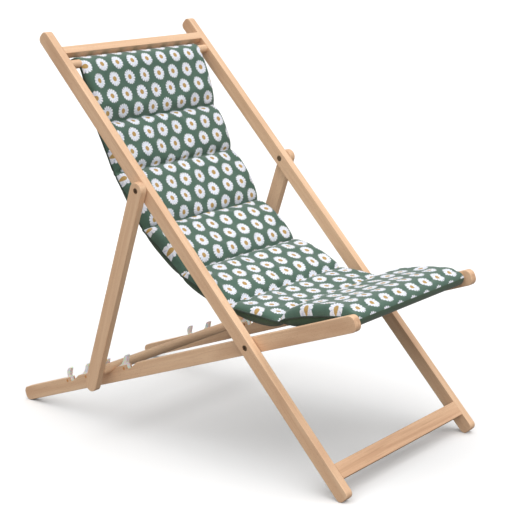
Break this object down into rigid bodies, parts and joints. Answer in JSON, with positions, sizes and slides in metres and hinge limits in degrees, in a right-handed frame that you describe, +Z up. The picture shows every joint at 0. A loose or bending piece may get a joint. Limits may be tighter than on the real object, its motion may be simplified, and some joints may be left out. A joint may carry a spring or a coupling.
{
  "type": "folding deck chair",
  "caption": "Folding wooden deck chair with a quilted floral sling slung between the back frame and the seat frame, and a hooked prop bar that sets the recline.",
  "frame": {"origin": "on the floor under the middle of the bounding box", "axes": "+Z up, +X across the chair, the sitter faces -Y"},
  "size_m": [0.572, 1.1604, 1.0157],
  "materials": {
    "beech": "satin lacquer",
    "hook_plastic": "satin",
    "zinc_steel": "zinc plated",
    "washer_nylon": "matt",
    "quilted_fabric": "padded cotton with a printed daisy pattern"
  },
  "bodies": {
    "back_frame": {"back_leg_left": "beech", "back_leg_right": "beech", "head_rail": "beech", "sling_bar": "beech", "foot_rail": "beech", "fold_pivot_bolts": "zinc_steel", "fold_pivot_nuts": "zinc_steel", "fold_pivot_washers": "washer_nylon", "prop_pivot_bolts": "zinc_steel", "prop_pivot_nuts": "zinc_steel", "prop_pivot_washers": "washer_nylon", "sling_back": "quilted_fabric"},
    "seat_frame": {"seat_rail_left": "beech", "seat_rail_right": "beech", "front_bar": "beech", "bar_hook_left_1": "hook_plastic", "bar_hook_left_2": "hook_plastic", "bar_hook_left_3": "hook_plastic", "bar_hook_left_4": "hook_plastic", "bar_hook_right_1": "hook_plastic", "bar_hook_right_2": "hook_plastic", "bar_hook_right_3": "hook_plastic", "bar_hook_right_4": "hook_plastic", "hook_pins_left": "beech", "hook_pins_right": "beech", "sling_seat": "quilted_fabric"},
    "prop_frame": {"prop_leg_left": "beech", "prop_leg_right": "beech", "prop_bar": "beech"}
  },
  "joints": [
    {"name": "fold", "type": "hinge", "parent": "back_frame", "child": "seat_frame", "pos_m": [0, -0.27842, 0.3092], "axis": [-1, 0, 0], "range_deg": [0, 110], "deforming": ["sling_back", "sling_seat"]},
    {"name": "prop_turn", "type": "hinge", "parent": "back_frame", "child": "prop_frame", "pos_m": [0, 0.03176, 0.64889], "axis": [-1, 0, 0], "range_deg": [0, 59.4]}
  ],
  "couplings": [
    {"joint": "prop_turn", "follows": "fold", "ratio": 0.54}
  ]
}
